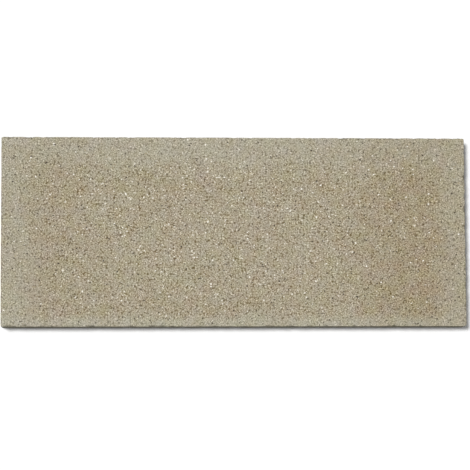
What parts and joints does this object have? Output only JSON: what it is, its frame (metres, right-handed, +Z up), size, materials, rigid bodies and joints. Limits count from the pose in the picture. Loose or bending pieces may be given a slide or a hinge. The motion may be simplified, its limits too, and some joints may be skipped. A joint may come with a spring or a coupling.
{
  "type": "vermiculite stove baffle",
  "caption": "Flat rectangular board of pressed vermiculite that lies across the top of a stove's firebox as its baffle, turning the smoke and holding in the heat.",
  "frame": {"origin": "middle of the underside, on the surface that the board lies on", "axes": "+X along the board's length, +Y across it towards the back of the firebox, +Z up through its thickness"},
  "size_m": [0.49, 0.2, 0.025],
  "materials": {
    "pressed_vermiculite": "matte, granular, with fine mica flakes"
  },
  "bodies": {
    "root": {"baffle_board": "pressed_vermiculite"}
  },
  "joints": []
}
